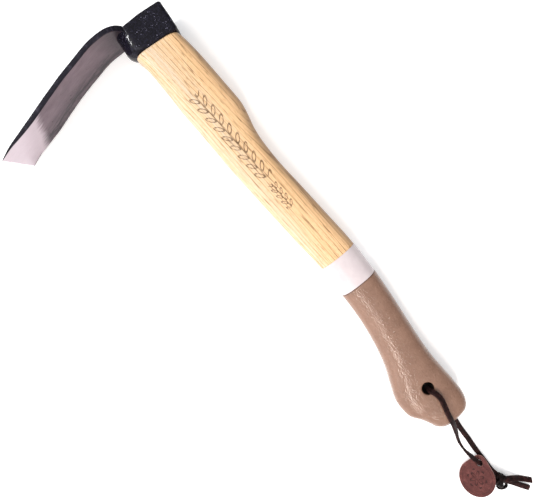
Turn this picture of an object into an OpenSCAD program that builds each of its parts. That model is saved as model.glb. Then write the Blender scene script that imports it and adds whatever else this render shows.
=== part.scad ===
// Hand hoe with a curved ash handle, lying on its side.
// The tool is drawn in its own frame: +X runs from the butt to the head, +Y is the way the
// blade points and Z is square to the swing plane. lie() then lays it on the ground.

/* [Handle] */
// Length of the handle from the collar's underside to the end of the butt
handle_length = 374.7; // [374.5:0.1:375.5]
// Thickness of the kerf wedge at the top
wedge_thickness = 3.6; // [3:0.2:4.4]
// Diameter of the hang hole
hang_hole_d = 9.5; // [9:0.1:10]
// Thickness of the dipped grip coat
coat_thickness = 0.7; // [0.5:0.1:0.8]
// Thickness of the white painted band
band_thickness = 0.3; // [0.2:0.05:0.4]

/* [Head] */
// Thickness of the collar across the swing plane
collar_thickness = 32; // [31:0.5:33]
// Length of the eye, along the blade
eye_length = 27; // [26:0.5:28]
// Width of the eye, across the swing plane
eye_width = 21; // [20:0.5:22]
// Thickness of the blade plate
blade_thickness = 4.4; // [3.8:0.1:4.6]
// Width of the cutting edge
edge_width = 50; // [49:0.5:51]

/* [Lanyard] */
// Width of the flat leather lace
lace_width = 4.4; // [4:0.1:4.5]
// Thickness of the flat leather lace
lace_thickness = 2; // [1.6:0.1:2]
// Diameter of the round part of the tag
tag_d = 27.2; // [26:0.2:28]
// Thickness of the tag
tag_thickness = 2.5; // [2:0.1:2.6]

/* [Hidden] */
$fn = 48;

// Lie of the tool: it rests on the blade's lower edge and on the butt.
lie_roll = 1.1;
lie_pitch = -1.2;
lie_shift = [190.7, -49.4, 22.85];

// Head
collar_bottom = -16.5;
collar_top = 9.1;
collar_rear = -19.5;
collar_front = 26;
rear_corner_r = 3;
front_corner_r = 15;
eye_corner_r = 4;
eye_middle = 0;

// The blade's outer face, from the root to the cutting edge: [reach, height].
blade_outer = [[15.5, 8.6], [20, 10.2], [30, 10.9], [43.5, 9.6], [59, 5.3], [81, -1.7],
               [108, -12.3], [135, -23.2], [145.8, -29.6]];
// Half of the blade's width along its reach: [reach, half width].
blade_plan = [[15.4, 15.4], [18, 18], [22, 21], [28, 23.1], [36, 23.6], [60, 23.3], [90, 23.3],
              [120, 23.8], [138, 24.6], [146.5, edge_width / 2]];
bevel_length = 38;
edge_land = 0.5;

// Handle stations: [distance down the handle, back edge, front edge, half thickness, squareness].
end_of_butt = handle_length - collar_bottom;
stations = [
    [16.5, -18, 21.5, 15.8, 4.2], [24, -20.1, 19.2, 15.4, 3.7], [36, -22.5, 17.6, 15, 3.3],
    [50, -24.5, 16.4, 14.5, 3], [70, -26.9, 14.9, 13.8, 2.8], [84, -28.6, 13.2, 13.3, 2.7],
    [91, -28.9, 12.3, 13.1, 2.7], [100, -27.9, 11.5, 12.9, 2.7], [112, -26.1, 10.2, 12.6, 2.7],
    [124, -25.8, 9, 12.4, 2.6], [145, -27.4, 6.1, 12.2, 2.6], [170, -31.3, 2.5, 12, 2.5],
    [200, -35.7, -2, 11.9, 2.5], [230, -39.8, -7.2, 11.8, 2.5], [258, -41.5, -9.9, 11.7, 2.5],
    [285, -41.8, -11.1, 11.6, 2.5], [310, -41.1, -9.6, 11.6, 2.6], [328, -40.9, -6.7, 11.6, 2.7],
    [342, -41.6, -2.4, 11.5, 2.8], [354, -43, 1.1, 11.4, 2.9], [362, -44.2, 1.2, 11.3, 2.9],
    [370, -45, -0.6, 11, 2.9], [377, -45.3, -6.5, 10.8, 2.9], [383, -44.2, -10.4, 10.4, 2.9],
    [388, -41, -13.2, 9, 2.8], [end_of_butt, -33, -16.2, 6, 2.5]];
band_start = 233;
coat_start = 259.8;
wood_rings = [16.5, 20, 25, 31, 38, 46, 55, 64, 73, 80, 86, 91, 96, 102, 109, 117, 126, 136, 147,
              158, 170, 182, 194, 206, 217, 226];
band_rings = [band_start, 240, 247, 254, coat_start];
grip_rings = [267, 275, 284, 293, 302, 311, 319, 327, 334, 341, 347, 353, 358, 363, 368, 373,
              377.5, 381.5, 384.5, 387, 389, 390.3, end_of_butt];
ring_sides = 28;
lean = 0.085;

// Hang hole
hang_hole_at = [-356, -24.1];
mouth_chamfer = 1.2;

// Kerf and ring wedges
tongue_top = 8;
tongue_root = 6;
kerf_depth = 20;
kerf_length = 24;
kerf_tip = 0.8;
ring_wedge_d = 14;
ring_wedge_wall = 1.4;
ring_wedge_depth = 10;

// Routes of the lace, on the ground: the upper strand leaves the hole's top mouth, the lower
// strand its bottom mouth, and both end at the knot.
upper_route = [[-167.7, -73.6, 15], [-167.7, -73.7, 21], [-167.8, -74.2, 26],
    [-168.8, -75.1, 28.9], [-171.5, -76.4, 29.8], [-176, -77.2, 29.5], [-182, -76.6, 29.1],
    [-188, -75.5, 28.7], [-193, -74.9, 27.9], [-197.8, -74.6, 26.1], [-202.6, -74.2, 22.9],
    [-207.5, -73.7, 18.8], [-213, -73.1, 14.6], [-219.5, -71.6, 10.9], [-226.6, -70.9, 8.9],
    [-233, -71.3, 8.3], [-238.8, -72.7, 8.6], [-243.2, -73.9, 8.9], [-246.3, -74.6, 8.5],
    [-247.7, -75, 7], [-248.5, -75.25, 5.3], [-249.4, -75.6, 3.6], [-250.8, -76, 2.2],
    [-254, -76.7, 2], [-259, -76.9, 3], [-262.6, -77.2, 4.4], [-265.2, -78.2, 4.9]];
lower_route = [[-167.7, -73.6, 14.9], [-167.7, -73.5, 9], [-167.7, -73.4, 5],
    [-168.2, -73.4, 2.7], [-169.8, -73.6, 1.3], [-173, -74.1, 1.1], [-181, -75.4, 1.1],
    [-190, -76.6, 1.1], [-198.3, -77.4, 1.1], [-205.1, -78.3, 1.1], [-210.6, -78.9, 1.1],
    [-216.7, -78.6, 1.1], [-222.6, -78.7, 1.1], [-229.8, -79.1, 1.1], [-237.2, -79.1, 1.1],
    [-244.3, -79.5, 1.1], [-250.3, -80.1, 1.2], [-256.2, -80.1, 2.2], [-260, -80.4, 4],
    [-263.5, -81.4, 4.9]];
tail_a_route = [[-270.6, -85.9, 6.5], [-272.4, -88.4, 5.6], [-275.2, -91.6, 3.8],
    [-279.1, -95.4, 1.7], [-283, -99.4, 1.1], [-286.3, -103, 1.1]];
tail_b_route = [[-272.6, -84.4, 3.3], [-275.6, -86.6, 2.3], [-279.4, -89.3, 1.3],
    [-283.6, -92.4, 1.1], [-287.4, -95.5, 1.1], [-290.2, -97.8, 1.1]];
knot_at = [-269.4, -82.2, 5.2];
knot_heading = 28;
knot_length = 10.2;
knot_d = 10;
loop_at = [-276, -80.3, 1.1];
loop_r = 2.9;

// Tag
tag_hole_at = [-248.5, -75.25, 5.4];
tag_tilt = 27;
tag_azimuth = 23.5;
tag_ear_angle = -68;
tag_ear_r = 5.8;
tag_ear_offset = 11.8;
tag_hole_d = 5;

// A smooth value from a table of [position, value, ...] rows, by cubic pieces between the rows.
function rise(table, i, column) =
    let (a = max(i - 1, 0), b = min(i + 1, len(table) - 1))
    (table[b][column] - table[a][column]) / (table[b][0] - table[a][0]);
function row_before(table, x, i = 0) =
    i >= len(table) - 2 || x < table[i + 1][0] ? i : row_before(table, x, i + 1);
function smooth(table, x, column) =
    let (i = row_before(table, x), p = table[i], q = table[i + 1], span = q[0] - p[0],
         t = (x - p[0]) / span, m = rise(table, i, column) * span,
         n = rise(table, i + 1, column) * span, a = p[column], b = q[column])
    (2 * t * t * t - 3 * t * t + 1) * a + (t * t * t - 2 * t * t + t) * m
        + (3 * t * t - 2 * t * t * t) * b + (t * t * t - t * t) * n;
function bent(value, power) = sign(value) * pow(abs(value), power);

// A handle section: a superellipse, offset outwards by the grow, and square to the handle's
// own line where the band and the coat start.
function lean_at(s) = lean * max(0, min(1, (s - 190) / 40, (320 - s) / 40));
function section(s, grow = 0) =
    let (x = min(s, end_of_butt), back = smooth(stations, x, 1) - grow,
         front = smooth(stations, x, 2) + grow, half = smooth(stations, x, 3) + grow,
         power = 2 / smooth(stations, x, 4), reach = (front - back) / 2)
    [for (i = [0:ring_sides - 1])
        let (a = 360 * i / ring_sides, y = reach * bent(cos(a), power))
        [-s - lean_at(x) * y, (front + back) / 2 + y, half * bent(sin(a), power)]];

// A solid through rings of equal length. A closed one joins its last ring to its first.
module loft(rings, closed = false) {
    count = len(rings);
    sides = len(rings[0]);
    last = closed ? count - 1 : count - 2;
    points = [for (ring = rings) each ring];
    walls = [for (i = [0:last], j = [0:sides - 1])
        let (a = i * sides, b = ((i + 1) % count) * sides, k = (j + 1) % sides)
        each [[a + j, b + k, b + j], [a + j, a + k, b + k]]];
    first_cap = [for (j = [sides - 1:-1:0]) j];
    last_cap = [for (j = [0:sides - 1]) (count - 1) * sides + j];
    polyhedron(points, closed ? walls : concat(walls, [first_cap, last_cap]), convexity = 6);
}

// A flat lace swept along a route, its wide side level. It narrows where it squeezes through the tag.
function unit(v) = v / norm(v);
function heading(route, i) = unit(route[min(i + 1, len(route) - 1)] - route[max(i - 1, 0)]);
function pinch(p) = 1 - 0.3 * exp(-pow(norm(p - tag_hole_at) / 7, 2));
module lace(route) {
    corners = [[1, 0.5], [0.6, 1], [-0.6, 1], [-1, 0.5], [-1, -0.5], [-0.6, -1], [0.6, -1], [1, -0.5]];
    loft([for (i = [0:len(route) - 1])
        let (t = heading(route, i), side = unit([0, 1, 0] - t * t[1]), up = cross(t, side))
        [for (c = corners) route[i] + side * c[0] * lace_width / 2 * pinch(route[i])
            + up * c[1] * lace_thickness / 2]]);
}

module lie() {
    translate(lie_shift) rotate([lie_roll, lie_pitch, 0]) children();
}

module rounded_slot(length, width, r) {
    for (x = [-1, 1], y = [-1, 1])
        translate([x * (length / 2 - r), y * (width / 2 - r)]) circle(r);
    square([length - 2 * r, width], center = true);
    square([length, width - 2 * r], center = true);
}

// Stands a flat outline drawn as [reach, across] upright, so that it is extruded along the handle.
module along_handle(from, to) {
    multmatrix([[0, 0, 1, from], [1, 0, 0, 0], [0, 1, 0, 0]]) linear_extrude(to - from) children();
}

// Stands a side profile drawn as [reach, height], extruded across the swing plane.
module across(width) {
    multmatrix([[0, 1, 0, 0], [1, 0, 0, 0], [0, 0, -1, width / 2]]) linear_extrude(width) children();
}

module collar_footprint() {
    rear_y = collar_thickness / 2 - rear_corner_r;
    front_y = collar_thickness / 2 - front_corner_r;
    for (y = [-1, 1]) {
        translate([collar_rear + rear_corner_r, y * rear_y]) circle(rear_corner_r);
        translate([collar_front - front_corner_r, y * front_y]) circle(front_corner_r);
    }
    translate([collar_rear, -rear_y]) square([collar_front - collar_rear - front_corner_r, 2 * rear_y]);
    translate([collar_rear + rear_corner_r, -collar_thickness / 2])
        square([collar_front - front_corner_r - collar_rear - rear_corner_r, collar_thickness]);
    translate([collar_rear + rear_corner_r, -front_y])
        square([collar_front - collar_rear - rear_corner_r, 2 * front_y]);
}

module collar_profile() {
    nose_r = 9.5;
    nose_middle = [collar_front - nose_r, collar_bottom + nose_r];
    polygon(concat([[collar_rear, collar_bottom], [collar_rear, collar_top], [0, collar_top],
                    [16.5, collar_top - 1], [collar_front, collar_top - 2.2]],
                   [for (a = [0:10:90]) nose_middle + nose_r * [cos(a), -sin(a)]]));
}

function outer_at(y) = smooth(blade_outer, y, 1);
function plate_at(y) =
    let (left = blade_outer[len(blade_outer) - 1][0] - y)
    left > bevel_length ? blade_thickness
        : edge_land + (blade_thickness - edge_land) * sin(90 * max(left, 0) / bevel_length);
function inner_point(y) =
    let (slope = (outer_at(y + 0.5) - outer_at(y - 0.5)), t = plate_at(y), n = norm([1, slope]))
    [y + slope * t / n, outer_at(y) - t / n];

module blade_shape() {
    root = blade_outer[0][0];
    tip = blade_outer[len(blade_outer) - 1][0];
    steps = 26;
    reach = [for (i = [0:steps]) root + (tip - root) * i / steps];
    intersection() {
        across(edge_width + 10) polygon(concat(
            [for (y = reach) [y, outer_at(y)]],
            [for (i = [steps:-1:1]) inner_point(reach[i])],
            [[root, outer_at(root) - blade_thickness]]));
        along_handle(-45, 25) polygon(concat(
            [for (p = blade_plan) [p[0], p[1]]],
            [for (i = [len(blade_plan) - 1:-1:0]) [blade_plan[i][0], -blade_plan[i][1]]]));
    }
}

module eye(grow = 0) {
    along_handle(collar_bottom - 1, collar_top + 1)
        translate([eye_middle, 0]) rounded_slot(eye_length + grow, eye_width + grow, eye_corner_r);
}

module eye_collar() {
    color("#1e1b26") lie() difference() {
        intersection() {
            along_handle(collar_bottom, collar_top) collar_footprint();
            across(collar_thickness + 2) collar_profile();
        }
        eye();
        blade_shape();
    }
}

module blade() {
    color("#73646e") lie() blade_shape();
}

module hang_hole() {
    reach = 20;
    mouth = section(-hang_hole_at[0])[7][2];
    translate([hang_hole_at[0], hang_hole_at[1], -reach]) cylinder(d = hang_hole_d, h = 2 * reach);
    for (side = [-1, 1])
        translate([hang_hole_at[0], hang_hole_at[1], side * (mouth + coat_thickness)])
            cylinder(r1 = hang_hole_d / 2 + mouth_chamfer * (side > 0 ? 0 : 2),
                     r2 = hang_hole_d / 2 + mouth_chamfer * (side > 0 ? 2 : 0),
                     h = 2 * mouth_chamfer, center = true);
}

module ring_wedge_shape() {
    translate([tongue_top - ring_wedge_depth, eye_middle, 0]) rotate([0, 90, 0]) rotate_extrude()
        polygon([[ring_wedge_d / 2 - ring_wedge_wall, ring_wedge_depth],
                 [ring_wedge_d / 2, ring_wedge_depth], [ring_wedge_d / 2 - 0.6, 0],
                 [ring_wedge_d / 2 - 0.9, 0]]);
}

module kerf_wedge_shape() {
    translate([0, eye_middle + kerf_length / 2, 0]) rotate([90, 0, 0]) linear_extrude(kerf_length)
        polygon([[tongue_top, wedge_thickness / 2], [tongue_top, -wedge_thickness / 2],
                 [tongue_top - kerf_depth, -kerf_tip / 2], [tongue_top - kerf_depth, kerf_tip / 2]]);
}

module handle() {
    color("#f0d9a4") lie() difference() {
        union() {
            loft([for (s = concat(wood_rings, band_rings, grip_rings)) section(s)]);
            along_handle(collar_bottom - tongue_root, tongue_top)
                translate([eye_middle, 0]) rounded_slot(eye_length, eye_width, eye_corner_r);
        }
        kerf_wedge_shape();
        ring_wedge_shape();
        hang_hole();
    }
}

module kerf_wedge() {
    color("#b98a56") lie() difference() {
        kerf_wedge_shape();
        ring_wedge_shape();
    }
}

module ring_wedge() {
    color("#8f9296") lie() ring_wedge_shape();
}

module white_band() {
    color("#f0e6eb") lie() loft(concat(
        [for (s = band_rings) section(s, band_thickness)],
        [for (i = [len(band_rings) - 1:-1:0]) section(band_rings[i])]), closed = true);
}

module grip_coat() {
    coat_rings = concat([coat_start], grip_rings);
    color("#aa826e") lie() difference() {
        loft(concat(
            [for (i = [len(coat_rings) - 1:-1:0]) section(coat_rings[i])],
            [for (s = coat_rings) section(s, coat_thickness)],
            [[for (p = section(end_of_butt, coat_thickness)) p + [-coat_thickness, 0, 0]]]));
        hang_hole();
    }
}

module lace_upper() {
    color("#40282b") lace(upper_route);
}

module lace_lower() {
    color("#40282b") lace(lower_route);
}

module lace_knot() {
    round_r = 2.2;
    color("#352023") {
        translate(knot_at) rotate([0, 0, knot_heading]) rotate([0, 90, 0])
            translate([0, 0, -knot_length / 2]) rotate_extrude() {
                square([knot_d / 2 - round_r, knot_length]);
                translate([0, round_r]) square([knot_d / 2, knot_length - 2 * round_r]);
                for (z = [round_r, knot_length - round_r])
                    translate([knot_d / 2 - round_r, z]) circle(round_r);
            }
        translate(loop_at) rotate_extrude() translate([loop_r, 0]) circle(d = lace_thickness);
    }
}

module lace_tails() {
    color("#40282b") {
        lace(tail_a_route);
        lace(tail_b_route);
    }
}

// A drop-shaped outline: a round disc whose flanks run tangent to a small ear.
module drop(big_r, small_r, offset) {
    hull() {
        circle(big_r);
        translate([offset, 0]) circle(small_r);
    }
}

module leather_tag() {
    color("#825052") translate(tag_hole_at) rotate([0, tag_tilt, tag_azimuth])
        rotate([0, 0, tag_ear_angle]) translate([0, 0, -tag_thickness / 2]) difference() {
            linear_extrude(tag_thickness) translate([-tag_ear_offset, 0])
                drop(tag_d / 2, tag_ear_r, tag_ear_offset);
            translate([0, 0, -1]) cylinder(d = tag_hole_d, h = tag_thickness + 2);
        }
}

eye_collar();
blade();
handle();
kerf_wedge();
ring_wedge();
white_band();
grip_coat();
lace_upper();
lace_lower();
lace_knot();
lace_tails();
leather_tag();
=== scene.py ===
import math

import bpy
import bmesh
import numpy as np
from mathutils import Matrix, Vector, noise


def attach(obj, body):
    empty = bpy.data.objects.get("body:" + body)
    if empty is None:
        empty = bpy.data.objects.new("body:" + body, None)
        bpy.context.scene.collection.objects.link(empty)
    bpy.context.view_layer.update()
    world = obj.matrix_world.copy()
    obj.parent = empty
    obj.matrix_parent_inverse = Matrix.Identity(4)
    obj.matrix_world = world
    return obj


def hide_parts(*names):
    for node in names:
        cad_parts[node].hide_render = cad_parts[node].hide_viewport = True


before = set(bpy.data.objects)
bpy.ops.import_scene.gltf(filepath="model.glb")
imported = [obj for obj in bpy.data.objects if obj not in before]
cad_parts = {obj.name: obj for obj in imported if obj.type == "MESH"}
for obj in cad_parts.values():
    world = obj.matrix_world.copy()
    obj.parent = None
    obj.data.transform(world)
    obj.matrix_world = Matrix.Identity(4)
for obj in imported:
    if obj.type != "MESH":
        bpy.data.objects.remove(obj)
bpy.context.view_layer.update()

# A hand hoe lying on its side. Its hard pieces are built in the tool's own frame, in
# millimetres: +X from the butt to the head, +Y the way the blade points, +Z square to the swing
# plane. LIE then lays that frame on the ground. The lace and the tag are built on the ground.
MM = 0.001
LIE_ROLL = math.radians(1.1)
LIE_PITCH = math.radians(-1.2)
LIE_SHIFT = Vector((190.7, -49.4, 22.85)) * MM
LIE = (Matrix.Translation(LIE_SHIFT) @ Matrix.Rotation(LIE_PITCH, 4, "Y")
       @ Matrix.Rotation(LIE_ROLL, 4, "X"))

# ------ sizes, as the CAD has them

END_OF_BUTT = 391.2
BAND_START = 233
COAT_START = 259.8
BAND_THICKNESS = 0.3
COAT_THICKNESS = 0.7
HANG_HOLE = (-356, -24.1)
HANG_HOLE_R = 4.75
HANG_HOLE_MOUTH_R = 1.3

# Distance down the handle, back edge, front edge, half thickness, squareness.
STATIONS = [
    [16.5, -18, 21.5, 15.8, 4.2], [24, -20.1, 19.2, 15.4, 3.7], [36, -22.5, 17.6, 15, 3.3],
    [50, -24.5, 16.4, 14.5, 3], [70, -26.9, 14.9, 13.8, 2.8], [84, -28.6, 13.2, 13.3, 2.7],
    [91, -28.9, 12.3, 13.1, 2.7], [100, -27.9, 11.5, 12.9, 2.7], [112, -26.1, 10.2, 12.6, 2.7],
    [124, -25.8, 9, 12.4, 2.6], [145, -27.4, 6.1, 12.2, 2.6], [170, -31.3, 2.5, 12, 2.5],
    [200, -35.7, -2, 11.9, 2.5], [230, -39.8, -7.2, 11.8, 2.5], [258, -41.5, -9.9, 11.7, 2.5],
    [285, -41.8, -11.1, 11.6, 2.5], [310, -41.1, -9.6, 11.6, 2.6], [328, -40.9, -6.7, 11.6, 2.7],
    [342, -41.6, -2.4, 11.5, 2.8], [354, -43, 1.1, 11.4, 2.9], [362, -44.2, 1.2, 11.3, 2.9],
    [370, -45, -0.6, 11, 2.9], [377, -45.3, -6.5, 10.8, 2.9], [383, -44.2, -10.4, 10.4, 2.9],
    [388, -41, -13.2, 9, 2.8], [END_OF_BUTT, -33, -16.2, 6, 2.5]]
LEAN = 0.085

COLLAR_BOTTOM = -16.5
COLLAR_TOP = 9.1
COLLAR_REAR = -19.5
COLLAR_FRONT = 26
COLLAR_HALF = 16
REAR_CORNER_R = 3
FRONT_CORNER_R = 15
NOSE_R = 9.5
EYE_LENGTH = 27
EYE_WIDTH = 21
EYE_CORNER_R = 4
TONGUE_TOP = 8

# The blade's outer face: reach, height. Its plan: reach, half width.
BLADE_OUTER = [[15.5, 8.6], [20, 10.2], [30, 10.9], [43.5, 9.6], [59, 5.3], [81, -1.7],
               [108, -12.3], [135, -23.2], [145.8, -29.6]]
BLADE_PLAN = [[15.4, 15.4], [18, 18], [22, 21], [28, 23.1], [36, 23.6], [60, 23.3], [90, 23.3],
              [120, 23.8], [138, 24.6], [146.5, 25]]
BLADE_THICKNESS = 4.4
BEVEL_LENGTH = 38
EDGE_LAND = 0.5
LOWER_STRIP = 0.9

# The lace's routes on the ground.
UPPER_ROUTE = [[-167.7, -73.6, 15], [-167.7, -73.7, 21], [-167.8, -74.2, 26],
    [-168.8, -75.1, 28.9], [-171.5, -76.4, 29.8], [-176, -77.2, 29.5], [-182, -76.6, 29.1],
    [-188, -75.5, 28.7], [-193, -74.9, 27.9], [-197.8, -74.6, 26.1], [-202.6, -74.2, 22.9],
    [-207.5, -73.7, 18.8], [-213, -73.1, 14.6], [-219.5, -71.6, 10.9], [-226.6, -70.9, 8.9],
    [-233, -71.3, 8.3], [-238.8, -72.7, 8.6], [-243.2, -73.9, 8.9], [-246.3, -74.6, 8.5],
    [-247.7, -75, 7], [-248.5, -75.25, 5.3], [-249.4, -75.6, 3.6], [-250.8, -76, 2.2],
    [-254, -76.7, 2], [-259, -76.9, 3], [-262.6, -77.2, 4.4], [-265.2, -78.2, 4.9]]
LOWER_ROUTE = [[-167.7, -73.6, 14.9], [-167.7, -73.5, 9], [-167.7, -73.4, 5],
    [-168.2, -73.4, 2.7], [-169.8, -73.6, 1.3], [-173, -74.1, 1.1], [-181, -75.4, 1.1],
    [-190, -76.6, 1.1], [-198.3, -77.4, 1.1], [-205.1, -78.3, 1.1], [-210.6, -78.9, 1.1],
    [-216.7, -78.6, 1.1], [-222.6, -78.7, 1.1], [-229.8, -79.1, 1.1], [-237.2, -79.1, 1.1],
    [-244.3, -79.5, 1.1], [-250.3, -80.1, 1.2], [-256.2, -80.1, 2.2], [-260, -80.4, 4],
    [-263.5, -81.4, 4.9]]
TAIL_A_ROUTE = [[-270.6, -85.9, 6.5], [-272.4, -88.4, 5.6], [-275.2, -91.6, 3.8],
    [-279.1, -95.4, 1.7], [-283, -99.4, 1.1], [-286.3, -103, 1.1]]
TAIL_B_ROUTE = [[-272.6, -84.4, 3.3], [-275.6, -86.6, 2.3], [-279.4, -89.3, 1.3],
    [-283.6, -92.4, 1.1], [-287.4, -95.5, 1.1], [-290.2, -97.8, 1.1]]
LACE_WIDTH = 4.4
LACE_THICKNESS = 2
KNOT_AT = Vector((-269.4, -82.2, 5.2))
KNOT_HEADING = math.radians(28)
LOOP_AT = Vector((-276, -80.3, 1.1))
LOOP_R = 2.9
BIGHT_HEADING = math.radians(56)

TAG_D = 27.2
TAG_THICKNESS = 2.5
TAG_HOLE_AT = Vector((-248.5, -75.25, 5.4))
TAG_TILT = math.radians(27)
TAG_AZIMUTH = math.radians(23.5)
TAG_EAR_ANGLE = math.radians(-68)
TAG_EAR_R = 5.8
TAG_EAR_OFFSET = 11.8
TAG_HOLE_D = 5
TAG_LIE = (Matrix.Translation(TAG_HOLE_AT * MM) @ Matrix.Rotation(TAG_AZIMUTH, 4, "Z")
           @ Matrix.Rotation(TAG_TILT, 4, "Y") @ Matrix.Rotation(TAG_EAR_ANGLE, 4, "Z"))


# ------ camera and lights

def place(obj, back, up, location, base=LIE):
    """Puts obj at a location of the base frame, its local +Z along back and +Y near up."""
    z = Vector(back).normalized()
    x = Vector(up).cross(z).normalized()
    y = z.cross(x)
    turn = Matrix((x, y, z)).transposed().to_4x4()
    obj.matrix_world = base @ Matrix.Translation(Vector(location)) @ turn


def make_camera():
    """Straight above the swing plane, close enough to see the blade's inner face."""
    data = bpy.data.cameras.new("camera")
    camera = bpy.data.objects.new("camera", data)
    bpy.context.scene.collection.objects.link(camera)
    data.sensor_width = 36
    data.lens = 32.34
    data.shift_y = -0.088
    place(camera, (0, 0, 1), (0.829, -0.5593, 0), (-0.166, -0.001, 0.383))
    bpy.context.scene.camera = camera


def softbox(name, at, look_at, size, watts, colour=(1, 1, 1), along=(1, 0, 0)):
    """A rectangular lamp in the tool's frame that faces a point; its long side runs along."""
    data = bpy.data.lights.new(name, "AREA")
    data.shape = "RECTANGLE"
    data.size, data.size_y = size
    data.energy = watts
    data.color = colour
    lamp = bpy.data.objects.new(name, data)
    bpy.context.scene.collection.objects.link(lamp)
    back = Vector(at) - Vector(look_at)
    place(lamp, back, back.cross(Vector(along)), at)


BRIGHT_SIDE = Vector((0.05, 0.88, 0.47))


def make_lights():
    softbox("key", (0.25, 2.2, 2.0), (-0.12, 0, 0), (2.6, 1.6), 30, (1, 0.985, 0.965))
    # gives the long highlight on the grip
    softbox("strip", (-0.75, 0.257, 0.8), (-0.32, -0.02, 0.01), (0.64, 0.034), 4.4, (1, 0.87, 0.77),
            (1, -0.29, 0))
    # gives the small highlight on the collar's rounded corner
    softbox("corner", (0.44, 0.73, 0.58), (0, 0.016, 0.014), (0.045, 0.075), 4.4, along=(1, 0, -0.6))


def make_world():
    """Soft light from all round, brighter from the side that the blade points to."""
    world = bpy.data.worlds.new("studio")
    world.use_nodes = True
    tree = world.node_tree
    way = node(tree, "TexCoord", {}, "Generated")
    facing = node(tree, "VectorMath", {0: way, 1: BRIGHT_SIDE.normalized()}, "Value",
                  operation="DOT_PRODUCT")
    background = tree.nodes["Background"].inputs
    feed(background["Color"], (0.97, 0.98, 1))
    feed(background["Strength"], spread(facing, -0.55, 0.95, 0.36, 1.5))
    bpy.context.scene.world = world
    bpy.context.scene.view_settings.view_transform = "Standard"


# ------ shader arithmetic

class Value:
    """A number, vector or colour that a shader works out at each point."""

    def __init__(self, socket):
        self.socket = socket
        self.tree = socket.id_data

    def __add__(self, other):
        return calc("ADD", self, other)

    def __sub__(self, other):
        return calc("SUBTRACT", self, other)

    def __rsub__(self, other):
        return calc("SUBTRACT", other, self)

    def __mul__(self, other):
        return calc("MULTIPLY", self, other)

    def __truediv__(self, other):
        return calc("DIVIDE", self, other)

    def __abs__(self):
        return calc("ABSOLUTE", self)


def feed(socket, value):
    """Links a Value to an input, or sets the input to a constant."""
    if isinstance(value, Value):
        value.tree.links.new(value.socket, socket)
    elif socket.type == "RGBA":
        socket.default_value = (*value, 1)
    else:
        socket.default_value = value


def node(tree, kind, inputs, output=0, **settings):
    """One output of a new shader node with these settings and inputs."""
    made = tree.nodes.new("ShaderNode" + kind)
    for name, value in settings.items():
        setattr(made, name, value)
    for name, value in inputs.items():
        feed(made.inputs[name], value)
    return Value(made.outputs[output])


def calc(operation, a, b=0.0):
    tree = a.tree if isinstance(a, Value) else b.tree
    return node(tree, "Math", {0: a, 1: b}, operation=operation)


def spots(at, scale, detail=2.0, roughness=0.5, distortion=0.0):
    """Noise from 0 to 1, with this many features to the metre."""
    return node(at.tree, "TexNoise", {"Vector": at, "Scale": scale, "Detail": detail,
                                      "Roughness": roughness, "Distortion": distortion})


def spread(value, low, high, to_low=0.0, to_high=1.0):
    """value from low to high, eased, as to_low to to_high."""
    return node(value.tree, "MapRange", {"Value": value, "From Min": low, "From Max": high,
                                         "To Min": to_low, "To Max": to_high},
                interpolation_type="SMOOTHSTEP")


def blend(share, a, b):
    """Colour a turning into b with share."""
    return node(share.tree, "Mix", {0: share, 6: a, 7: b}, 2, data_type="RGBA")


def length_of(x, y):
    return calc("SQRT", x * x + y * y)


def split(at):
    """The three coordinates of a place."""
    parts = node(at.tree, "SeparateXYZ", {0: at}).socket.node.outputs
    return [Value(part) for part in parts]


def attribute(tree, name):
    """The number that mark() wrote for each point of a piece."""
    return node(tree, "Attribute", {}, "Fac", attribute_name=name)


def stretched(at, *scale):
    return node(at.tree, "Mapping", {"Vector": at, "Scale": scale})


def ground_space(tree):
    """The ground frame in metres."""
    return node(tree, "TexCoord", {}, "Object")


def local_space(tree, matrix, stretch=(1, 1, 1), turn=0.0):
    """A frame that lies in the ground frame by matrix: turned about its +Z, then stretched."""
    local = node(tree, "Mapping", {"Vector": ground_space(tree), "Location": matrix.translation,
                                   "Rotation": matrix.to_euler("XYZ")}, vector_type="TEXTURE")
    turned = node(tree, "Mapping", {"Vector": local, "Rotation": (0, 0, turn)})
    return stretched(turned, *stretch)


def tool_space(tree, stretch=(1, 1, 1), turn=0.0):
    """The tool's own frame in metres."""
    return local_space(tree, LIE, stretch, turn)


def relief(height, depth, below=None):
    """Surface detail whose full height is depth, in metres, over another relief."""
    inputs = {"Height": height, "Distance": depth, "Strength": 1.0}
    if below is not None:
        inputs["Normal"] = below
    return node(height.tree, "Bump", inputs)


def dress(material, **looks):
    """Feeds the shader's inputs, whose names are written here as Python names."""
    inputs = material.node_tree.nodes["Principled BSDF"].inputs
    for key, value in looks.items():
        feed(inputs[key.replace("_", " ").title().replace("Ior", "IOR")], value)
    return material


def new_material(name, **constants):
    """A material with these constants, and its node tree."""
    material = bpy.data.materials.new(name)
    material.use_nodes = True
    return dress(material, **constants), material.node_tree


# ------ materials

GRAIN_TURN = math.radians(7.4)   # the grain runs along the handle's straight upper part
SPRIG = ((-0.108, 0.0075), 0.043, 1.0)        # middle, half length and leaf size
LITTLE_SPRIG = ((-0.1685, 0.0080), 0.0125, 0.62)
LEAF_TILT = math.radians(36)


def growth_rings(at, pith, ring_gap):
    """Growth rings about a far pith: a cycle from 0 to 1 for each ring."""
    sway = spots(stretched(at, 0.12, 1, 1), 30, 3, 0.5)
    y, z = split(at)[1:]
    radius = length_of(y - pith[0], z - pith[1])
    return calc("FRACT", (radius + sway * 0.009) / ring_gap)


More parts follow.
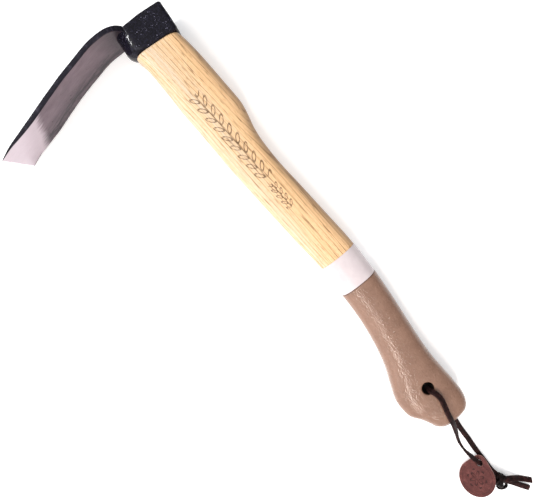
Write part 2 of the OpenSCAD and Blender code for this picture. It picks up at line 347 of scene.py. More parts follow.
def burnt_sprig(at, middle, half, size):
    """A plain ornament burnt into the upper face: a stem with leaves left and right in turn."""
    x, y, z = split(at)
    along = x - middle[0]
    across = y - middle[1]
    out = abs(across)
    side = calc("GREATER_THAN", across, 0.0)
    gap = 0.0095 * size
    cell = calc("FRACT", along / gap + side * 0.5)
    dx = (cell - 0.5) * gap
    dy = out - 0.0032 * size
    length, width = 0.0039 * size, 0.0014 * size
    c, s = math.cos(LEAF_TILT), math.sin(LEAF_TILT)
    ex = dx * (c / length) + dy * (s / length)
    ey = dx * (-s / width) + dy * (c / width)
    leaf = spread(abs(length_of(ex, ey) - 1.0), 0.31, 0.15)
    stem = spread(out, 0.0004, 0.0002)
    ends = spread(abs(along), half, half - 0.001)
    upper = spread(z, 0.0, 0.001)
    return calc("MAXIMUM", leaf, stem) * ends * upper


def ash_wood():
    """Pale ash: fine tan growth lines, long open pores, and a paler head end and front edge that are
    partly the wood's own tone and partly painted light; painted shade along the back edge and inside
    the hang hole.
    """
    material, tree = new_material("ash_wood", specular_ior_level=0.3)
    at = tool_space(tree, turn=-GRAIN_TURN)
    cycle = growth_rings(at, (0.085, -0.05), 0.0026)
    fine_cycle = growth_rings(at, (0.12, -0.09), 0.0011)
    fibre = spots(stretched(at, 0.02, 1, 1), 1050, 4, 0.7)
    broad = spots(stretched(at, 0.02, 1, 1), 230, 3, 0.6)
    pores = spots(stretched(at, 0.06, 1, 1), 1150, 2, 0.5)
    speck = spots(stretched(at, 0.22, 1, 1), 1500, 2)
    line = spread(cycle, 0.83, 0.92) * spread(cycle, 1.0, 0.96)
    hair = spread(fine_cycle, 0.4, 0.8) * spread(fine_cycle, 1.0, 0.85)
    broken = spread(pores, 0.35, 0.55, 0.45, 1.0)
    in_line = spread(pores, 0.57, 0.65) * spread(cycle, 0.4, 0.7)
    x, y = split(at)[:2]
    # paler towards the front edge and the head end, tan towards the back edge: partly the wood's own
    # tone, partly painted light on the lit front side
    side = spread(y + (x + 0.1) * 0.1, 0.012, -0.005)
    pale = blend(side, (0.615, 0.490, 0.358), (0.785, 0.512, 0.284))
    warm = blend(spread(broad, 0.35, 0.7, 0, 0.5), pale, (0.70, 0.44, 0.21))
    lined = blend(line * broken * spread(broad, 0.25, 0.6, 0.5, 1.0), warm, (0.24, 0.118, 0.044))
    haired = blend(hair * spread(fibre, 0.35, 0.6, 0.0, 0.50), lined, (0.52, 0.31, 0.135))
    fine = blend(spread(fibre, 0.47, 0.70, 0, 0.38), haired, (0.50, 0.295, 0.13))
    # painted shade along the back edge, where the skin turns away from the lamps
    back = spread(attribute(tree, "back"), 0.30, 0.95, 0, 0.8)
    painted_back_shade = blend(back, fine, (0.24, 0.135, 0.065))
    dusted = blend(spread(speck, 0.52, 0.68, 0, 0.4), painted_back_shade, (0.47, 0.27, 0.115))
    pored = blend(in_line * 0.75, dusted, (0.20, 0.10, 0.04))
    worn = spread(fibre, 0.35, 0.6, 0.35, 0.9)
    sprigs = calc("MAXIMUM", burnt_sprig(at, *SPRIG) * worn, burnt_sprig(at, *LITTLE_SPRIG) * 0.85)
    marked = blend(sprigs, pored, (0.075, 0.034, 0.014))
    # the hang hole is painted near black inside: painted shade in the bore
    x, y = split(tool_space(tree))[:2]
    bore = length_of(x - HANG_HOLE[0] * MM, y - HANG_HOLE[1] * MM)
    burnt = spread(bore, (HANG_HOLE_R + 1.2) * MM, (HANG_HOLE_R + 0.6) * MM)
    return dress(material, base_color=blend(burnt, marked, (0.014, 0.009, 0.007)),
                 roughness=spread(fibre, 0.2, 0.8, 0.42, 0.56),
                 normal=relief(1 - in_line, 0.00008, relief(fibre, 0.00004)))


def wedge_wood():
    """Rough sawn hardwood, darker than the handle and with its grain across it."""
    material, tree = new_material("wedge_wood", roughness=0.7)
    saw = spots(tool_space(tree, (1, 0.2, 1)), 1400, 3, 0.6)
    return dress(material, base_color=blend(saw, (0.36, 0.20, 0.09), (0.56, 0.36, 0.18)),
                 normal=relief(saw, 0.0002))


def ring_steel():
    """Plain steel with turning marks and hammer dents."""
    material, tree = new_material("ring_steel", metallic=1.0)
    at = tool_space(tree)
    marks = spots(at, 2600, 3, 0.6)
    dents = spots(at, 520, 2, 0.5)
    return dress(material, base_color=blend(dents, (0.32, 0.32, 0.33), (0.58, 0.58, 0.60)),
                 roughness=spread(marks, 0.2, 0.8, 0.28, 0.5), normal=relief(dents, 0.0001))


def band_paint():
    """Satin white paint through which the grain still shows a little."""
    material, tree = new_material("band_paint", roughness=0.34, specular_ior_level=0.4)
    grain = spots(tool_space(tree, (0.04, 1, 1), -GRAIN_TURN), 900, 2, 0.5)
    cloud = spots(tool_space(tree), 160, 3, 0.6)
    paint = blend(spread(cloud, 0.3, 0.7), (0.545, 0.478, 0.490), (0.580, 0.515, 0.524))
    return dress(material, base_color=paint, roughness=spread(cloud, 0.3, 0.7, 0.30, 0.40),
                 normal=relief(grain, 0.00003))


def grip_coating():
    """Thick taupe dip with a glossy fine wrinkle, and a dark line painted at its lip as painted shade
    where it meets the band.
    """
    material, tree = new_material("grip_coating", specular_ior_level=0.45)
    wrinkle = spots(tool_space(tree, (0.55, 1, 1), -GRAIN_TURN), 560, 3, 0.6, 1.5)
    swell = spots(tool_space(tree), 240, 2, 0.5)
    cloud = spots(tool_space(tree), 70, 4, 0.65)
    crackle = spots(tool_space(tree), 900, 2, 0.6, 1.0)
    base = blend(spread(cloud, 0.3, 0.7), (0.198, 0.110, 0.075), (0.238, 0.135, 0.093))
    worn = blend(spread(wrinkle, 0.5, 0.75, 0, 0.6), base, (0.29, 0.173, 0.124))
    low = blend(spread(wrinkle, 0.45, 0.25, 0, 0.6), worn, (0.122, 0.064, 0.042))
    creased = relief(wrinkle, 0.00008, relief(swell, 0.00005))
    # the lip attribute darkens the coat next to the band: painted shade
    return dress(material, base_color=blend(attribute(tree, "lip"), low, (0.09, 0.045, 0.030)),
                 roughness=spread(wrinkle, 0.3, 0.7, 0.11, 0.05),
                 normal=relief(crackle, 0.00018, creased))


def collar_paint():
    """Thick black lacquer over a rough forging, with dents and pale flecks."""
    material, tree = new_material("collar_paint", specular_ior_level=0.10, coat_weight=0.06,
                                  coat_roughness=0.05)
    at = tool_space(tree)
    lumps = spots(at, 230, 3, 0.55)
    pits = spots(at, 1200, 2, 0.6)
    dust = spots(at, 1150, 2, 0.7)
    region = spots(at, 130, 2, 0.5)
    tint = spots(at, 700, 3, 0.7)
    flecks = spread(dust, 0.645, 0.675) * spread(region, 0.46, 0.62)
    black = blend(spread(tint, 0.4, 0.7), (0.0035, 0.0030, 0.0050), (0.011, 0.010, 0.020))
    return dress(material, base_color=blend(flecks, black, (0.24, 0.23, 0.33)),
                 roughness=spread(pits, 0.3, 0.7, 0.08, 0.18),
                 normal=relief(pits, 0.000012, relief(lumps, 0.0003)))


def blade_steel():
    """Dark lacquered forged steel. Only the inner face shows the metal, and is ground bright
    at the edge; the outer face and the side edges are black."""
    material, tree = new_material("blade_steel", specular_ior_level=0.15, coat_weight=0.06,
                                  coat_roughness=0.1)
    y, z = split(tool_space(tree))[1:]
    streak = spots(tool_space(tree, (0.05, 0.05, 1)), 900, 3, 0.6)
    brushed = spots(tool_space(tree, (0.08, 0.08, 1)), 2400, 2, 0.6)
    scale = spots(tool_space(tree, (0.6, 0.6, 1)), 110, 4, 0.65)
    patch = spots(tool_space(tree, (0.25, 0.25, 1)), 240, 4, 0.7)
    # the ground patch ends on a slant, further up on the upper side, with a brushed border
    ragged = spots(tool_space(tree, (0.2, 0.2, 1)), 330, 3, 0.55)
    ground = spread(y + (z * 0.42 + ragged * 0.011), 0.1165, 0.1265)
    # darker near the collar: partly lacquer run onto the root, partly painted shade beside the collar;
    # also darker in patches towards the lower side
    root = spread(y, 0.052, 0.018)
    lower = spread(z, 0.006, -0.018)
    root_shade_and_low_patches = calc("MAXIMUM", root * 0.9, lower * spread(patch, 0.38, 0.6, 0.35, 0.95))
    face = blend(spread(scale, 0.35, 0.65), (0.124, 0.086, 0.104), (0.166, 0.118, 0.142))
    lined = blend(spread(streak, 0.45, 0.7, 0, 0.45), face, (0.105, 0.075, 0.095))
    dark = blend(root_shade_and_low_patches, lined, (0.022, 0.015, 0.021))
    bright = blend(brushed, (0.40, 0.333, 0.370), (0.55, 0.472, 0.513))
    plain = blend(ground, dark, bright)
    margin = attribute(tree, "lower_edge") * spread(patch, 0.3, 0.5, 0.6, 0.95)
    metal = blend(margin, plain, (0.030, 0.022, 0.030))
    black = blend(spread(brushed, 0.5, 0.75, 0, 0.6), (0.006, 0.0048, 0.010), (0.045, 0.038, 0.058))
    inner = attribute(tree, "inner_face")
    return dress(material, base_color=blend(inner, black, metal),
                 metallic=inner * spread(ground, 0, 1, 0.35, 0.75),
                 roughness=(spread(scale, 0.3, 0.7, 0.30, 0.40)
                            + spread(brushed, 0.3, 0.7, -0.04, 0.06)),
                 normal=relief(brushed, 0.00002, relief(scale, 0.00025)))


def lace_leather(name, low, high):
    """Dark red-brown waxed leather with a fine grain and paler rubbed patches."""
    material, tree = new_material(name, specular_ior_level=0.09)
    at = ground_space(tree)
    grain = spots(at, 1700, 3, 0.6)
    rub = spots(at, 320, 3, 0.6)
    return dress(material, base_color=blend(spread(rub, 0.35, 0.75), low, high),
                 roughness=spread(grain, 0.3, 0.7, 0.50, 0.68), normal=relief(grain, 0.0001))


def tag_leather():
    """Red-brown tanned leather with a pebbled face, a pale cut rim and a stamped rosette."""
    material, tree = new_material("tag_leather", specular_ior_level=0.15)
    at = local_space(tree, TAG_LIE)
    grain = node(tree, "TexVoronoi", {"Vector": at, "Scale": 1300.0}, feature="F1")
    cloud = spots(at, 260, 4, 0.65)
    fine = spots(at, 2300, 2, 0.6)
    along, y, z = split(at)
    x = along + TAG_EAR_OFFSET * MM
    radius = length_of(x, y)
    # the stamp: six petals about the middle, a bud between each pair, and a faint circle
    turned = calc("ARCTAN2", y, x) * 3.0
    petal = abs(calc("COSINE", turned)) * 0.0052
    bud = abs(calc("SINE", turned)) * 0.0075
    flower = spread(abs(radius - petal), 0.0006, 0.0002) * spread(radius, 0.0006, 0.0012)
    buds = spread(bud - radius, -0.0002, 0.0002) * spread(radius, 0.0062, 0.0066)
    circle = spread(abs(radius - 0.0112), 0.0004, 0.0001)
    stamp = calc("MAXIMUM", calc("MAXIMUM", flower, buds), circle * 0.35)
    pressed = stamp * spread(z, 0.0, 0.0004)
    face = blend(spread(cloud, 0.3, 0.7), (0.074, 0.020, 0.018), (0.112, 0.033, 0.029))
    aged = blend(spread(fine, 0.45, 0.7, 0, 0.75), face, (0.046, 0.012, 0.012))
    light = blend(spread(cloud, 0.5, 0.75, 0, 0.5), aged, (0.17, 0.062, 0.056))
    marked = blend(pressed * 0.95, light, (0.034, 0.012, 0.011))
    cut = blend(fine, (0.16, 0.06, 0.052), (0.42, 0.22, 0.19))
    return dress(material, base_color=blend(attribute(tree, "rim"), marked, cut),
                 roughness=spread(cloud, 0.3, 0.7, 0.44, 0.60),
                 normal=relief(1 - pressed, 0.0003, relief(grain, 0.00012)))


def floor_paint():
    """A plain pale studio floor."""
    material, tree = new_material("floor", roughness=0.9, specular_ior_level=0.1,
                                  emission_color=(1, 1, 1), emission_strength=0.28)
    mottle = spots(ground_space(tree), 3, 2, 0.5)
    return dress(material, base_color=blend(mottle, (0.91, 0.91, 0.91), (0.93, 0.93, 0.93)))


# ------ mesh helpers

def rise(table, i, column):
    before, after = max(i - 1, 0), min(i + 1, len(table) - 1)
    return (table[after][column] - table[before][column]) / (table[after][0] - table[before][0])


def smooth(table, x, column):
    """A smooth value from a table of [position, value, ...] rows, as the CAD works it out."""
    i = 0
    while i < len(table) - 2 and x >= table[i + 1][0]:
        i += 1
    span = table[i + 1][0] - table[i][0]
    t = (x - table[i][0]) / span
    a, b = table[i][column], table[i + 1][column]
    m, n = rise(table, i, column) * span, rise(table, i + 1, column) * span
    return ((2 * t**3 - 3 * t**2 + 1) * a + (t**3 - 2 * t**2 + t) * m
            + (3 * t**2 - 2 * t**3) * b + (t**3 - t**2) * n)


def steps(start, end, gap):
    """Evenly spaced values from start to end, about gap apart."""
    return np.linspace(start, end, max(2, round(abs(end - start) / gap) + 1))


def loft(rings, caps=(True, True), closed=False):
    """Points and faces of a skin through rings of equal length, with a fan over each end."""
    rings = [np.asarray(ring, float) for ring in rings]
    sides = len(rings[0])
    points = [p for ring in rings for p in ring]
    faces = []
    last = len(rings) if closed else len(rings) - 1
    for i in range(last):
        a, b = i * sides, ((i + 1) % len(rings)) * sides
        for j in range(sides):
            k = (j + 1) % sides
            faces.append((a + j, a + k, b + k, b + j))
    if not closed and caps[0]:
        points.append(rings[0].mean(axis=0))
        faces += [((j + 1) % sides, j, len(points) - 1) for j in range(sides)]
    if not closed and caps[1]:
        first = (len(rings) - 1) * sides
        points.append(rings[-1].mean(axis=0))
        faces += [(first + j, first + (j + 1) % sides, len(points) - 1) for j in range(sides)]
    return points, faces


def joined(*parts):
    """Several (points, faces) pairs as one."""
    points, faces = [], []
    for some_points, some_faces in parts:
        start = len(points)
        points += list(some_points)
        faces += [tuple(start + i for i in face) for face in some_faces]
    return points, faces


def make_piece(name, parts, material, base=LIE, sharp=32):
    """A mesh object from points in millimetres of the base frame, its faces turned outward."""
    points, faces = parts
    mesh = bpy.data.meshes.new(name)
    mesh.from_pydata([tuple(c * MM for c in p) for p in points], [], faces)
    mesh.transform(base)
    shape = bmesh.new()
    shape.from_mesh(mesh)
    bmesh.ops.recalc_face_normals(shape, faces=shape.faces)
    shape.to_mesh(mesh)
    shape.free()
    mesh.shade_smooth()
    mesh.set_sharp_from_angle(angle=math.radians(sharp))
    obj = bpy.data.objects.new(name, mesh)
    bpy.context.scene.collection.objects.link(obj)
    if material is not None:
        mesh.materials.append(material)
    return obj


def cut_away(obj, *tools):
    """Subtracts the tools from obj for good, then removes them."""
    for tool in tools:
        cutting = obj.modifiers.new("cut", "BOOLEAN")
        cutting.operation = "DIFFERENCE"
        cutting.solver = "EXACT"
        cutting.object = tool
    apply_modifiers(obj)
    for tool in tools:
        bpy.data.objects.remove(tool)


def apply_modifiers(obj):
    bpy.context.view_layer.update()
    shown = obj.evaluated_get(bpy.context.evaluated_depsgraph_get())
    mesh = bpy.data.meshes.new_from_object(shown)
    obj.modifiers.clear()
    obj.data = mesh


FORGING_SEED = 1


def mark(piece, name, values):
    """Writes a number for each point of the piece, which its material reads."""
    marks = piece.data.attributes.new(name, "FLOAT", "POINT")
    marks.data.foreach_set("value", values)


def forged(points, depth, size, shift):
    """The points moved a little by smooth noise, as hammered or cast faces are. The noise is
    seeded, so that it is the same in each run, and shift takes another part of it."""
    noise.seed_set(FORGING_SEED)
    moved = []
    for p in points:
        at = Vector(p) / size + Vector((shift, 0, 0))
        moved.append(Vector(p) + noise.noise_vector(at) * depth)
    return moved


def bent(value, power):
    return np.sign(value) * np.abs(value) ** power


# ------ handle

SIDES = 128
AROUND = np.linspace(0, 2 * math.pi, SIDES, endpoint=False)


def lean_at(s):
    return LEAN * max(0, min(1, (s - 190) / 40, (320 - s) / 40))


def section(s, grow=0.0, past=0.0, shrink=1.0):
    """A ring of the handle: the CAD's superellipse, grown outward, or past the end of the butt."""
    back = smooth(STATIONS, s, 1) - grow
    front = smooth(STATIONS, s, 2) + grow
    half = smooth(STATIONS, s, 3) + grow
    power = 2 / smooth(STATIONS, s, 4)
    y = (front - back) / 2 * bent(np.cos(AROUND), power) * shrink
    z = half * bent(np.sin(AROUND), power) * shrink
    return np.stack([-s - past - lean_at(s) * y, (front + back) / 2 + y, z], axis=1)


def on_slot(x, y, length, width, r):
    """Where the way from the eye's middle to (x, y) meets a rounded slot's outline."""
    reach = max(abs(x) / (length / 2), abs(y) / (width / 2))
    p = Vector((x, y)) / reach
    flat = Vector((length / 2 - r, width / 2 - r))
    if abs(p.x) > flat.x and abs(p.y) > flat.y:
        corner = Vector((math.copysign(flat.x, p.x), math.copysign(flat.y, p.y)))
        p = corner + (p - corner).normalized() * r
    return p


def slot_ring(height, inset=0.0):
    """The tongue's outline at that height up the collar."""
    return np.array([(height, *on_slot(math.cos(a), math.sin(a), EYE_LENGTH - inset,
                                       EYE_WIDTH - inset, EYE_CORNER_R)) for a in AROUND])


def end_dome(grow, rise_mm):
    """Rings that close the butt with a shallow dome."""
    return [section(END_OF_BUTT, grow, rise_mm * math.sin(a), math.cos(a))
            for a in np.linspace(0.2, 1.5, 7)]


def hole_cutter():
    """A spool along the hang hole, its ends flared to round the hole's mouths."""
    mouth = smooth(STATIONS, -HANG_HOLE[0], 3) + COAT_THICKNESS
    r = HANG_HOLE_MOUTH_R
    profile = []
    for a in np.linspace(0, math.radians(68), 7):
        profile.append((HANG_HOLE_R + r * (1 - math.cos(a)), mouth - r + r * math.sin(a) + 0.05))
    top_r, top_z = profile[-1]
    profile.append((top_r + 2.2, top_z + 1.1))
    turn = np.linspace(0, 2 * math.pi, 72, endpoint=False)
    rings = []
    for q, z in [(q, -z) for q, z in reversed(profile)] + profile:
        rings.append(np.stack([HANG_HOLE[0] + q * np.cos(turn), HANG_HOLE[1] + q * np.sin(turn),
                               np.full(len(turn), z)], axis=1))
    return make_piece("hole_cutter", loft(rings), None)


def mark_back(piece):
    """Marks how far each point's skin turns to the handle's back edge, 0 to 1, where the wood's
    material paints shade.
    """
    away = (LIE.to_3x3() @ Vector((0, -1, 0))).normalized()
    mark(piece, "back", [max(0.0, v.normal.dot(away)) for v in piece.data.vertices])


def make_handle(material):
    """The whole ash handle: the tongue in the eye, the shoulder, the bent grip and the butt."""
    tongue = [slot_ring(TONGUE_TOP - 0.4 * (1 - math.cos(a)), 0.8 * (1 - math.sin(a)))
              for a in np.linspace(0, math.pi / 2, 4)]
    tongue += [slot_ring(h) for h in steps(7, -16.4, 2)]
    shoulder = [section(16.55, -1.3), section(16.9, -0.75), section(17.4, -0.3), section(18, -0.06)]
    bare = [section(s) for s in steps(18.6, BAND_START - 0.5, 1.6)]
    hidden = [section(s, -0.04) for s in steps(BAND_START, END_OF_BUTT, 2)]
    parts = loft(tongue + shoulder + bare + hidden + end_dome(-0.04, 0.3))
    handle = make_piece("handle_wood", parts, material)
    mark_back(handle)
    cut_away(handle, hole_cutter(), kerf_cutter(), ring_cutter())
    handle.data.set_sharp_from_angle(angle=math.radians(35))
    return handle


def make_band(material):
    """The painted band: a thin closed sleeve with soft edges."""
    outer = [section(s, BAND_THICKNESS) for s in steps(BAND_START + 0.4, COAT_START - 0.05, 1.6)]
    lip = [section(BAND_START, 0.02), section(BAND_START + 0.05, 0.18),
           section(BAND_START + 0.2, 0.27)]
    inner = [section(s) for s in steps(COAT_START - 0.05, BAND_START, 3)]
    return make_piece("white_paint_band", loft(lip + outer + inner, closed=True), material, sharp=50)


def make_coat(material):
    """The dipped grip: a skin with a rounded lip that closes over the butt."""
    lip = [section(COAT_START + 0.8 * (1 - math.cos(a)), COAT_THICKNESS * math.sin(a) ** 0.8 + 0.01)
           for a in np.linspace(0.02, math.pi / 2, 7)]
    outer = [section(s, COAT_THICKNESS) for s in steps(COAT_START + 1.6, END_OF_BUTT - 9, 1.6)]
    outer += [section(s, COAT_THICKNESS) for s in steps(END_OF_BUTT - 8.5, END_OF_BUTT, 0.6)]
    skin = loft(lip + outer + end_dome(COAT_THICKNESS, COAT_THICKNESS), caps=(False, True))
    inner = [section(s) for s in steps(END_OF_BUTT, COAT_START, 3)]
    lining = loft(end_dome(0, 0.35)[::-1] + inner, caps=(True, False))
    # the last ring of the lining closes on the first ring of the lip
    last = len(skin[0]) + len(lining[0]) - 1 - SIDES
    points, faces = joined(skin, lining)
    for j in range(SIDES):
        k = (j + 1) % SIDES
        faces.append((j, last + j, last + k, k))
    coat = make_piece("grip_dip_coat", (points, faces), material)
    # how strongly each ring of the lip is darkened as painted shade
    lip_painted_shade = [1, 1, 1, 0.9, 0.7, 0.4, 0.15]
    mark(coat, "lip", [lip_painted_shade[i // SIDES] if i // SIDES < len(lip_painted_shade) else 0.0
                       for i in range(len(points))])
    cut_away(coat, hole_cutter())
    coat.data.set_sharp_from_angle(angle=math.radians(35))
    return coat


# ------ wedges

RING_WEDGE_R = 7
RING_WEDGE_WALL = 1.4
RING_WEDGE_DEPTH = 10
KERF_LENGTH = 24
KERF_DEPTH = 20
WEDGE_THICKNESS = 3.6


def ring_wedge_rings(gap=0.0, top=TONGUE_TOP):
    """A tube with a sharp lower edge and a rounded top rim, about the eye's middle."""
    outer, inner = RING_WEDGE_R + gap, RING_WEDGE_R - RING_WEDGE_WALL - gap
    low = TONGUE_TOP - RING_WEDGE_DEPTH
    profile = [(outer - 0.6, low), (outer, top - 0.3), (outer - 0.1, top - 0.08),
               (outer - 0.3, top), (inner + 0.3, top), (inner + 0.1, top - 0.08),
               (inner, top - 0.3), (outer - 0.9, low)]
    return [np.stack([np.full(SIDES, z), r * np.cos(AROUND), r * np.sin(AROUND)], axis=1)
            for r, z in profile]


def ring_cutter():
    return make_piece("ring_cutter", loft(ring_wedge_rings(0.02, TONGUE_TOP + 0.6), closed=True),
                      None)


def kerf_rings(thick, length, low, high):
    """A tapered bar: rounded at its top edges, thin at its lower end."""
    rings = []
    for z, t in ((low, 0.8), (high - 0.5, thick), (high - 0.15, thick - 0.15), (high, thick - 0.7)):
        x = length / 2 - (0.4 if z == high else 0)
        corners = [(x, t / 2), (-x, t / 2), (-x, -t / 2), (x, -t / 2)]
        ring = []
        for (ax, ay), (bx, by) in zip(corners, corners[1:] + corners[:1]):
            ring += [(z, ax + (bx - ax) * k / 8, ay + (by - ay) * k / 8) for k in range(8)]
        rings.append(ring)
    return rings


def kerf_cutter():
    return make_piece("kerf_cutter", loft(kerf_rings(WEDGE_THICKNESS, KERF_LENGTH + 0.06,
                                                     TONGUE_TOP - KERF_DEPTH, TONGUE_TOP + 0.6)), None)


def make_wedges(wood, steel):
    kerf = make_piece("kerf_wedge_wood", loft(kerf_rings(
        WEDGE_THICKNESS - 0.04, KERF_LENGTH, TONGUE_TOP - KERF_DEPTH + 0.3, TONGUE_TOP - 0.1)), wood)
    cut_away(kerf, ring_cutter())
    kerf.data.set_sharp_from_angle(angle=math.radians(30))
    ring = make_piece("ring_wedge_steel", loft(ring_wedge_rings(-0.02, TONGUE_TOP + 0.15), closed=True),
                      steel)
    return kerf, ring


# ------ head

COLLAR_SIDES = 176


def footprint(front, inset):
    """The collar's outline at one height: square at the rear, rounded at the front."""
    outline = []
    rear_r = max(REAR_CORNER_R - inset * 0.5, 1.5)
    front_r = FRONT_CORNER_R - inset
    half = COLLAR_HALF - inset
    rear = COLLAR_REAR + inset
    nose = front - inset
    corners = [(nose - front_r, half - front_r, front_r, 0),
               (rear + rear_r, half - rear_r, rear_r, 90),
               (rear + rear_r, rear_r - half, rear_r, 180),
               (nose - front_r, front_r - half, front_r, 270)]
    for cx, cy, r, start in corners:
        for a in np.radians(np.linspace(start, start + 90, 24)):
            outline.append((cx + r * math.cos(a), cy + r * math.sin(a)))
    outline.append(outline[0])
    line = np.array(outline)
    run = np.concatenate([[0], np.cumsum(np.linalg.norm(np.diff(line, axis=0), axis=1))])
    at = np.linspace(0, run[-1], COLLAR_SIDES, endpoint=False)
    return np.stack([np.interp(at, run, line[:, 0]), np.interp(at, run, line[:, 1])], axis=1)


def collar_top(y):
    """The height of the collar's top face: level over the eye, falling a little to the front."""
    if y < 0:
        return COLLAR_TOP
    return COLLAR_TOP - 1.0 * min(y / 16.5, 1) - 1.2 * max((y - 16.5) / 9.5, 0)


def collar_ring(share, inset):
    """One ring of the collar's wall: share 0 is its underside and 1 its top."""
    height = COLLAR_BOTTOM + share * (COLLAR_TOP - COLLAR_BOTTOM)
    below = max(0.0, COLLAR_BOTTOM + NOSE_R - height)
    front = COLLAR_FRONT - NOSE_R + math.sqrt(max(NOSE_R**2 - below**2, 0))
    ring = []
    for y, z in footprint(front, inset):
        top = collar_top(y)
        ring.append((COLLAR_BOTTOM + share * (top - COLLAR_BOTTOM), y, z))
    return np.array(ring)


def eye_ring(share, grow):
    """One ring of the eye's wall, its points beside those of the collar's outline."""
    height = COLLAR_BOTTOM + share * (COLLAR_TOP - COLLAR_BOTTOM)
    ring = []
    for y, z in footprint(COLLAR_FRONT, 0):
        p = on_slot(y, z, EYE_LENGTH + 2 * grow, EYE_WIDTH + 2 * grow, EYE_CORNER_R + grow)
        ring.append((height + share * (collar_top(p.x) - COLLAR_TOP), *p))
    return np.array(ring)


def make_collar(material):
    """The forged eye, its edges rounded by hammer and lacquer."""
    r = 1.5
    depth = COLLAR_TOP - COLLAR_BOTTOM
    rounding = np.linspace(math.pi / 2, 0, 7)
    low = [collar_ring(r * (1 - math.sin(a)) / depth, r * (1 - math.cos(a))) for a in rounding]
    wall = [collar_ring(h / depth, 0) for h in steps(r + 0.5, depth - r - 0.5, 0.6)]
    high = [collar_ring(1 - r * (1 - math.sin(a)) / depth, r * (1 - math.cos(a)))
            for a in rounding[::-1]]
    # the top and the underside run in from the outline's ring to the eye's rounded rim
    rim = 0.7
    lips = [(1 - rim * (1 - math.sin(a)) / depth, rim * (1 - math.cos(a))) for a in (1.57, 0.8, 0.1)]
    top_outer, top_inner = collar_ring(1, r), eye_ring(1, rim)
    top = [top_outer + (top_inner - top_outer) * k / 8 for k in range(1, 8)]
    bore = [eye_ring(share, grow) for share, grow in lips]
    bore += [eye_ring(share, 0) for share in np.linspace(0.95, 0.05, 14)]
    bore += [eye_ring(1 - share, grow) for share, grow in lips[::-1]]
    under_outer, under_inner = collar_ring(0, r), eye_ring(0, rim)
    under = [under_inner + (under_outer - under_inner) * k / 6 for k in range(1, 6)]
    points, faces = loft(low + wall + high + top + bore + under, closed=True)
    rough = forged(points, 0.3, 9, 3.1)
    rough = forged(rough, 0.12, 2.6, 7.7)
    return make_piece("eye_collar_forging", (rough, faces), material, sharp=60)


def outer_at(y):
    return smooth(BLADE_OUTER, y, 1)


def plate_at(y):
    left = BLADE_OUTER[-1][0] - y
    if left > BEVEL_LENGTH:
        return BLADE_THICKNESS
    share = math.sin(math.pi / 2 * max(left, 0) / BEVEL_LENGTH)
    return EDGE_LAND + (BLADE_THICKNESS - EDGE_LAND) * share


FACE_POINTS = 40
EDGE_POINTS = 9


def blade_ring(y):
    """A cross section of the blade: its outer face, an edge, its inner face and the other edge."""
    slope = outer_at(y + 0.5) - outer_at(y - 0.5)
    down = Vector((slope, -1)).normalized()
    thick = plate_at(y)
    half = smooth(BLADE_PLAN, y, 1)
    r = min(0.9, thick * 0.42)
    edge = [(half - r + r * math.sin(a), r - r * math.cos(a)) for a in (0.4, 0.8, 1.2, 1.57)]
    edge += [(half, thick / 2)]
    edge += [(half - r + r * math.cos(a), thick - r + r * math.sin(a)) for a in (0, 0.4, 0.8, 1.2)]
    side = [(z, 0) for z in np.linspace(-half + r, half - r, FACE_POINTS)] + edge
    # the other half is the same, turned half round about the plate's middle
    outline = side + [(-z, thick - d) for z, d in side]
    return [(outer_at(y) + down.y * d, y + down.x * d, z) for z, d in outline]


def make_blade(material):
    """The blade: root, rounded shoulders, long curve and thinned cutting edge."""
    tip = BLADE_OUTER[-1][0]
    reach = list(steps(15.6, 40, 0.5)) + list(steps(41, tip - 3, 1)) + list(steps(tip - 2.6, tip, 0.4))
    rings = [blade_ring(y) for y in reach]
    points, faces = loft(rings)
    per_ring = len(rings[0])
    last = len(rings) * per_ring
    rough = forged(points[:last], 0.12, 14, 11.3) + [Vector(p) for p in points[last:]]
    blade = make_piece("hoe_blade", (rough, faces), material, sharp=50)
    # marks the inner face, which alone is ground bright, and the strip at its lower edge
    inner_points = range(FACE_POINTS + EDGE_POINTS, 2 * FACE_POINTS + EDGE_POINTS)
    faced, edged = [0.0] * len(points), [0.0] * len(points)
    for i, ring in enumerate(rings):
        lowest = min(p[2] for p in ring)
        for j in inner_points:
            faced[i * per_ring + j] = 1.0
            edged[i * per_ring + j] = float(ring[j][2] < lowest + LOWER_STRIP)
    mark(blade, "inner_face", faced)
    mark(blade, "lower_edge", edged)
    return blade


# ------ lace, knot and tag

GROUND = Matrix.Identity(4)
SIDEWAYS = Vector((0, 1, 0))


def curve_points(route, gap=0.7):
    """The route as a smooth line, its points about gap apart."""
    pts = [Vector(p) for p in route]
    ends = [pts[0] * 2 - pts[1]] + pts + [pts[-1] * 2 - pts[-2]]
    line = []
    for a, b, c, d in zip(ends, ends[1:], ends[2:], ends[3:]):
        count = max(2, round((c - b).length / gap))
        for i in range(count):
            t = i / count
            line.append(0.5 * ((2 * b) + (c - a) * t + (2 * a - 5 * b + 4 * c - d) * t * t
                               + (3 * b - a - 3 * c + d) * t**3))
    line.append(pts[-1])
    return line


def pinch(p):
    """How much the lace narrows where it squeezes through the tag's hole."""
    return 1 - 0.3 * math.exp(-((p - TAG_HOLE_AT).length / 7) ** 2)


def level(t):
    return 0


